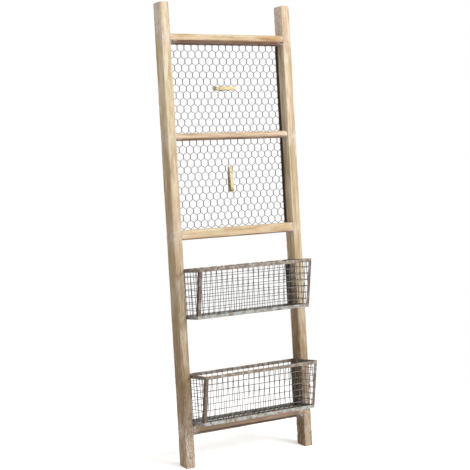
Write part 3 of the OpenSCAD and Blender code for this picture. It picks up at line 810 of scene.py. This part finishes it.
def add_head(shape, side, depth, height, face, r, tall, cross=False):
    """Domed head on the inner side of a rail, with or without a crossed recess."""
    sides = 40
    turn = full_turn(sides)
    rings = [np.column_stack((np.full(sides, face), r * np.cos(turn), r * np.sin(turn)))]
    for share in (1.0, 0.94, 0.82, 0.68, 0.54, 0.40, 0.26, 0.12):
        rise = tall * math.sqrt(max(0.0, 1 - (share * 0.96) ** 2))
        y, z = share * r * np.cos(turn), share * r * np.sin(turn)
        lift = np.full(sides, rise)
        if cross:
            arm = np.minimum(np.abs(y), np.abs(z)) < 0.17 * r
            lift = np.where(arm & (share < 0.6), rise - 0.45 * tall, lift)
        rings.append(np.column_stack((face - side * lift, y, z)))
    rings = np.array(rings)
    rings[:, :, 1] += depth
    rings[:, :, 2] += height
    shape.skin(rings)


def add_shank(shape, side, depth, height, face, r, length, thread=False):
    """Shank that runs from the face into the rail and ends in a point."""
    stations = [(0, r)]
    if thread:
        for k in range(int(length / 1.6)):
            stations += [(1 + k * 1.5, r * 0.72), (1.7 + k * 1.5, r * 0.98)]
    stations += [(length - 2.5, r * 0.8), (length - 0.2, r * 0.15)]
    stations = sorted(station for station in stations if station[0] <= length)
    sides = 16
    turn = full_turn(sides)
    rings = [
        np.column_stack((np.full(sides, face + side * along), depth + ring_r * np.cos(turn),
                         height + ring_r * np.sin(turn)))
        for along, ring_r in stations
    ]
    shape.skin(rings)


NAIL_DEPTH, SCREW_DEPTH = 37.7, 37.3
nails = Shape()
for side in (-1, 1):
    for height in (THIRD_RUNG + 45, MIDDLE_RUNG - 30, TOP_RUNG - 45):
        place = (side, NAIL_DEPTH, height, side * (INNER - EDGE_STRIP_T))
        add_head(nails, *place, r=2.0, tall=0.95)
        add_shank(nails, *place, r=1.0, length=17)
nails.make("edge_strip_nails", dark_steel, "ladder", "dark_strip_steel", ["edge_strip_nails"])

staples = Shape()
for row in (-1, LAST_ROW):
    for column in (-7, -4, 0, 4, 7):
        x, z, back = column * HEX_PITCH, twist_row(row), PANEL_BACK + 0.45
        left, right, tip = x - 3.6, x + 3.6, back - 7
        corners = [(left, tip, z), (left, back, z), (right, back, z), (right, tip, z)]
        staples.tube(bent_path(corners, 1.0), 0.5, across=(0, 0, 1))
staples.make("panel_staples", spring_steel, "ladder", "chicken_wire", ["panel_staples"])


# ------------------------ baskets
# A basket's own frame: x across, q from its rear bottom edge towards the front along the
# floor, h square to the floor.


def rear_q(h):
    return h * REAR_SLOPE


def front_q(h):
    return FLOOR_DEPTH + h * FRONT_SLOPE


def in_basket(base, x, q, h):
    sin, cos = math.sin(BASKET_TILT), math.cos(BASKET_TILT)
    return (x, BASKET_REAR - q * cos + h * sin, base + q * sin + h * cos)


def rim_loop(arc=5, long_parts=60, side_parts=20):
    """Places round a basket, as share across, share from rear to front and outward direction."""
    loop = []
    corners = [(1, 0, -90), (1, 1, 0), (-1, 1, 90), (-1, 0, 180)]
    for i, (sx, sq, start) in enumerate(corners):
        for k in range(arc):
            a = math.radians(start + 90 * k / (arc - 1))
            loop.append((sx, sq, math.cos(a), math.sin(a)))
        next_sx, next_sq, _ = corners[(i + 1) % 4]
        a = math.radians(start + 90)
        parts = side_parts if next_sx == sx else long_parts
        for k in range(1, parts):
            t = k / parts
            across, forward = sx + (next_sx - sx) * t, sq + (next_sq - sq) * t
            loop.append((across, forward, math.cos(a), math.sin(a)))
    return loop


def rim_rings(base, section, seed):
    """Rings of a strip bent round the basket; section lists (height, distance inward)."""
    bend = STRIP_BEND
    rings = []
    for sx, sq, ox, oq in rim_loop():
        # Dents fade where a corner's bend begins and ends.
        dent = 0.35 * waver(sx * 6, sq * 2.2, seed)
        dent *= 1 - max(abs(ox), abs(oq)) ** 40 * (abs(sx) == 1 and sq in (0, 1))
        dent = max(0.0, dent)
        ring = []
        for h, inset in section:
            x = sx * (INNER - bend) + ox * (bend - inset) - ox * dent * 0.5
            rear, front = rear_q(h) + bend, front_q(h) - bend
            q = rear + (front - rear) * sq + oq * (bend - inset) - oq * dent
            ring.append(in_basket(base, x, q, h))
        rings.append(ring)
    return rings


def basket_part(which, part, shape, material, slot="basket_strip_steel"):
    name = f"{which}_basket_{part}"
    shape.make(name, material, "ladder", slot, [name])


def build_rims(which, base):
    """The flat strip round the top and the angle strip round the floor, with painted shade on the
    sides.
    """
    top = [(BASKET_TOP - STRIP_W + b, a) for b, a in strip_outline(STRIP_W, STRIP_T)]
    bottom = [(b, a) for a, b in angle_outline(STRIP_W, STRIP_T)]
    on_side = np.array([0.5 if abs(ox) > 0.8 else 0.0 for _, _, ox, _ in rim_loop()])
    for part, section, steel, seed in (("top_rim", top, rim_steel, base / 100),
                                       ("bottom_rim", bottom, floor_rim_steel, base / 100 + 1)):
        dark = np.repeat(on_side[:, None], len(section), axis=1)
        shape = Shape()
        shape.skin(rim_rings(base, section, seed), loop=True, edge=np.ones(dark.shape), under=dark)
        basket_part(which, part, shape, steel)


def build_uprights(which, base):
    """The angle strips at the corners, with painted shade on the faces towards the rails."""
    section = angle_outline(STRIP_W, STRIP_T)
    dark = [1.0 if a < 0.9 and b > 0.5 else 0.0 for a, b in section]
    low, high = STRIP_W - 1.5, BASKET_TOP - STRIP_W + 1.5
    for side, left_right in ((-1, "left"), (1, "right")):
        for wall, inward, face, steel in (("front", -1, front_q, upright_steel),
                                          ("rear", 1, rear_q, rear_steel)):
            ends = [
                [in_basket(base, side * (INNER - 0.05 - a), face(h) + inward * (b + 0.05), h)
                 for a, b in section]
                for h in (low, high)
            ]
            shape = Shape()
            build_bar(shape, ends[0], ends[1], 30, 0.12, base / 100 + side, dark)
            basket_part(which, f"{wall}_{left_right}_upright", shape, steel)


def add_grid_wire(shape, base, rng, start, end, bow, low):
    """Nearly straight wire between two points of the basket's frame. It strays by bow at most,
    and low says how much paler it is, as painted highlight."""
    start, end = np.array(start, float), np.array(end, float)
    parts = max(4, int(np.linalg.norm(end - start) / 22))
    shift = rng.uniform(0, 50)
    path = []
    for k in range(parts + 1):
        t = k / parts
        sway = math.sin(math.pi * t) ** 0.6
        x, q, h = start + (end - start) * t
        x += sway * bow[0] * waver(t * 5, shift, 0.3)
        q += sway * bow[1] * waver(t * 4, shift, 5.1)
        h += sway * bow[2] * waver(t * 5, shift, 9.7)
        path.append(in_basket(base, x, q, h))
    run = np.array(path[-1]) - np.array(path[0])
    across = (0, 1, 0) if abs(run[1]) < 0.7 * np.linalg.norm(run) else (1, 0, 0)
    shape.tube(path, GRID_R, across=across, low=low)


def build_grids(which, base):
    """Welded grids. The level wires lie against the strips and the upright ones inside them."""
    outer = STRIP_T + GRID_WIRE / 2
    weld = 1.35
    inner = outer + weld
    half = INNER - outer
    wires_low, wires_high = STRIP_T + 1, BASKET_TOP - 1.2
    rows = [7 + j * (BASKET_WALL - 12) / GRID_ROWS for j in range(GRID_ROWS + 1)]
    column_room = 2 * half - 1.8
    columns = [-half + 0.9 + i * column_room / GRID_COLUMNS for i in range(GRID_COLUMNS + 1)]
    rng = random.Random(base)

    def wire(shape, start, end, bow, low=0.0):
        add_grid_wire(shape, base, rng, start, end, bow, low)

    # The last two numbers say how much paler the level and upright wires are: painted highlight on
    # the level wires, and the rear wires paler still.
    for part, face, inward, slope, level_highlight, upright_paleness in (
        ("front_mesh", front_q, -1, math.hypot(1, FRONT_SLOPE), 0.2, 0.0),
        ("rear_mesh", rear_q, 1, 1.0, 0.4, 0.3),
    ):
        shape = Shape()
        for row in rows:
            h = STRIP_T + row / slope
            q = face(h) + inward * outer * slope
            wire(shape, (-half, q, h), (half, q, h), (0, 0.25, 0.5), level_highlight)
        for x in columns:
            bottom, top = (
                (x, face(h) + inward * inner * slope, h) for h in (wires_low, wires_high)
            )
            wire(shape, bottom, top, (0.5, 0.25, 0), upright_paleness)
        basket_part(which, part, shape, grid_steel, "basket_wire")

    for side, part in ((-1, "left_mesh"), (1, "right_mesh")):
        shape = Shape()
        for row in rows:
            wire(shape, (side * half, rear_q(row) + outer, row),
                 (side * half, front_q(row) - outer, row), (0.2, 0, 0.4))
        x = side * (half - weld)
        q = outer
        while q < front_q(BASKET_TOP) - 6:
            bottom = max(wires_low, (q + 4 - FLOOR_DEPTH) / FRONT_SLOPE)
            top = min(wires_high, (q - outer) / REAR_SLOPE if q > outer else wires_high)
            top = top if top > 30 else wires_high
            lean = rear_q(top) if q <= outer + 1 else 0.0
            wire(shape, (x, q, bottom), (x, q + lean, top), (0.2, 0.4, 0))
            q += column_room / GRID_COLUMNS
        basket_part(which, part, shape, grid_steel, "basket_wire")

    shape = Shape()
    for x in columns:
        wire(shape, (x, outer, outer), (x, FLOOR_DEPTH - outer, outer), (0.4, 0, 0.2))
    lines = 5
    for j in range(lines + 1):
        q = outer + 1 + j * (FLOOR_DEPTH - 2 * outer - 2) / lines
        wire(shape, (-half, q, inner), (half, q, inner), (0, 0.5, 0.2))
    basket_part(which, "floor_mesh", shape, grid_steel, "basket_wire")


def build_screws(which, base):
    """The screws through the rear uprights into the rails."""
    screws = Shape()
    for side in (-1, 1):
        for above in (17.5, 116):
            place = (side, SCREW_DEPTH, base + above, side * (INNER - STRIP_T))
            add_head(screws, *place, r=3.4, tall=2.2, cross=True)
            add_shank(screws, *place, r=1.75, length=19.0, thread=True)
    basket_part(which, "screws", screws, dark_steel, "screw_steel")


for which, base in BASKET_BASES.items():
    build_rims(which, base)
    build_uprights(which, base)
    build_grids(which, base)
    build_screws(which, base)


# ------------------------ clothespins
# A clothespin's own frame: x towards the jaws, y away from the panel, z along the coil.

PIN_W, JAW, GRIP = 11, 50, 32
JAW_GAP = 1.2
BACK_SLOPE = 3.2 / (JAW - 11)
ARM_X, ARM_R, COIL_R = 30, 0.62, 2.65
COIL_TURNS, COIL_PARTS = 8.5, 16


def back_at(x):
    """Height of a leg's sloping back, ahead of the coil."""
    return 5.6 + (JAW - 7 - x) * BACK_SLOPE


ARM_Y = back_at(ARM_X)


def arc(cx, cy, r, start, end, parts):
    angles = [math.radians(start + (end - start) * k / parts) for k in range(parts + 1)]
    return [(cx + r * math.cos(a), cy + r * math.sin(a)) for a in angles]


def leg_outline():
    """Side view of a leg, from the jaw's tip over the back to the grip and along the inside."""
    tip = [(JAW, JAW_GAP), (JAW, 2.2), (JAW - 0.8, 3.2), (JAW - 4, 4.4), (JAW - 7, 5.6)]
    tip += [(x, back_at(x)) for x in (JAW - 10, JAW - 14)]
    groove = [
        (ARM_X + 1.6, ARM_Y - 1.6 * BACK_SLOPE), (ARM_X + 0.7, ARM_Y - 0.3),
        (ARM_X, ARM_Y - 0.75), (ARM_X - 0.7, ARM_Y - 0.2),
        (ARM_X - 1.6, ARM_Y + 1.6 * BACK_SLOPE),
    ]
    back = [(12, back_at(12)), (4, 8.8), (-12, 9.3), (-20, 9.5)]
    grip = [(4 - GRIP, 9.8), (1.6 - GRIP, 9.5), (-GRIP, 8.8), (-GRIP, 6.1), (-20, 4.6), (-10, 3.1)]
    coil_seat = arc(0, 0, 3.6, 148, 15, 12)
    throat = [(20, JAW_GAP), (30, JAW_GAP)] + arc(JAW - 12, -0.1, 3, 161, 19, 8)
    return tip + groove + back + grip + coil_seat + throat + [(46, JAW_GAP)]


def add_wire(shape, path, radius, sides=8):
    """Round wire along any path: its rings are carried along without twisting."""
    path = np.asarray(path, float)
    ahead = directions(path)
    turn = full_turn(sides)
    u = np.cross(ahead[0], (0.3, 0.5, 0.8))
    rings = []
    for middle, direction in zip(path, ahead):
        u = u - direction * np.dot(u, direction)
        u /= np.linalg.norm(u)
        v = np.cross(direction, u)
        rings.append(middle + radius * (np.cos(turn)[:, None] * u + np.sin(turn)[:, None] * v))
    shape.skin(rings)


def build_pin(which, row, across, lying, dark_band_at, material):
    """A clothespin on the panel; soiled is how far towards the jaws a dark band across it lies.
    Its coil stays with the ladder, and each of the spring's arms rides with a leg."""
    height = twist_row(row)
    sides = {"front": (1, f"{which}_pin_front"), "rear": (-1, f"{which}_pin_rear")}

    def place(x, y, z):
        if lying:
            return (across - x, PANEL_MID - y, height + z)
        return (across + z, PANEL_MID - y, height + x)

    outline = np.array(leg_outline())
    ahead = np.roll(outline, -1, axis=0) - np.roll(outline, 1, axis=0)
    ahead /= np.linalg.norm(ahead, axis=1)[:, None]
    inward = np.column_stack((-ahead[:, 1], ahead[:, 0]))
    dark_band = np.exp(-(((outline[:, 0] - dark_band_at) / 4.5) ** 2))
    half = PIN_W / 2
    slices = ((-half, 0.45), (-half + 0.12, 0.16), (-half + 0.45, 0.0), (0, 0.0),
              (half - 0.45, 0.0), (half - 0.12, 0.16), (half, 0.45))
    for part, (way, body) in sides.items():
        name = f"{which}_pin_{part}_leg"
        rings, edges = [], []
        for z, inset in slices:
            ring = outline + inward * inset
            rings.append([place(x, way * y, z) for x, y in ring])
            edges.append([1.0 if inset else 0.0] * len(ring))
        shape = Shape()
        shape.skin(rings, edge=np.array(edges), under=np.tile(dark_band, (len(rings), 1)))
        shape.make(name, material, body, "clothespin_wood", [name], 35)

    arm_side = PIN_W / 2 + ARM_R + 0.08
    coil = []
    for k in range(int(COIL_TURNS * COIL_PARTS) + 1):
        t = k / (COIL_TURNS * COIL_PARTS)
        a = math.pi / 2 - 2 * math.pi * COIL_TURNS * t
        coil.append((COIL_R * math.cos(a), COIL_R * math.sin(a), arm_side * (1 - 2 * t)))
    wires = {"coil": ("ladder", coil)}
    for part, (way, body) in sides.items():
        arm = [(ARM_X, way * ARM_Y, -way * arm_side), (ARM_X, way * ARM_Y, way * arm_side),
               (0.0, way * COIL_R, way * arm_side)]
        wires[f"{part}_arm"] = (body, bent_path(arm, 1.2))
    for part, (body, path) in wires.items():
        shape = Shape()
        add_wire(shape, [place(*point) for point in path], ARM_R)
        shape.make(f"{which}_pin_spring_{part}", spring_steel, body, "spring_steel",
                   [f"{which}_pin_spring"], 60)


build_pin("upper", UPPER_PIN_ROW, UPPER_PIN_X, lying=True, dark_band_at=44, material=upper_pin_wood)
build_pin("lower", LOWER_PIN_ROW, LOWER_PIN_X, lying=False, dark_band_at=-27, material=lower_pin_wood)

# ------------------------ floor, light and camera

WHITE = (1.0, 1.0, 1.0, 1.0)
STUDIO_GLOW, GLOW_STRENGTH = (1.0, 0.975, 0.93, 1.0), 0.72
CAMERA_PLACE = (-2.0135, -3.2404, 1.2100)
CAMERA_LOOKS_DOWN, CAMERA_TURNS_RIGHT = math.radians(7.45), math.radians(31.58)
LENS_MM, SENSOR_MM = 92.5, 36.0

bpy.ops.mesh.primitive_grid_add(size=16, x_subdivisions=8, y_subdivisions=8, location=(0, 0, 0))
floor = bpy.context.object
floor.name = "floor"
floor.data.materials.append(pale_floor("pale_floor"))


def studio_world():
    """Soft even light from all round, with a white backdrop where the camera sees past the floor."""
    world = bpy.data.worlds.new("studio")
    bpy.context.scene.world = world
    world.use_nodes = True
    nodes, links = world.node_tree.nodes, world.node_tree.links
    glow = nodes["Background"]
    glow.inputs["Color"].default_value = STUDIO_GLOW
    glow.inputs["Strength"].default_value = GLOW_STRENGTH
    backdrop = nodes.new("ShaderNodeBackground")
    backdrop.inputs["Color"].default_value = WHITE
    ray = nodes.new("ShaderNodeLightPath")
    either = nodes.new("ShaderNodeMixShader")
    links.new(ray.outputs["Is Camera Ray"], either.inputs[0])
    links.new(glow.outputs["Background"], either.inputs[1])
    links.new(backdrop.outputs["Background"], either.inputs[2])
    links.new(either.outputs["Shader"], nodes["World Output"].inputs["Surface"])


def area_light(name, place, target, size, power, colour=(1.0, 1.0, 1.0)):
    light = bpy.data.lights.new(name, "AREA")
    light.size = size
    light.energy = power
    light.color = colour
    obj = bpy.data.objects.new(name, light)
    obj.location = place
    obj.rotation_euler = (Vector(target) - Vector(place)).to_track_quat("-Z", "Y").to_euler()
    add_to_scene(obj)


studio_world()
area_light("key", (1.3, -2.3, 2.1), (0, 0, 1.0), size=1.3, power=78, colour=(0.98, 0.99, 1.0))
area_light("top", (0.0, -0.6, 3.6), (0, 0, 0.7), size=2.0, power=40)

camera_data = bpy.data.cameras.new("camera")
camera_data.lens = LENS_MM
camera_data.sensor_width = SENSOR_MM
camera = bpy.data.objects.new("camera", camera_data)
camera.location = CAMERA_PLACE
camera.rotation_euler = (math.radians(90) - CAMERA_LOOKS_DOWN, 0.0, -CAMERA_TURNS_RIGHT)
add_to_scene(camera)
bpy.context.scene.camera = camera
bpy.context.scene.view_settings.view_transform = "Standard"
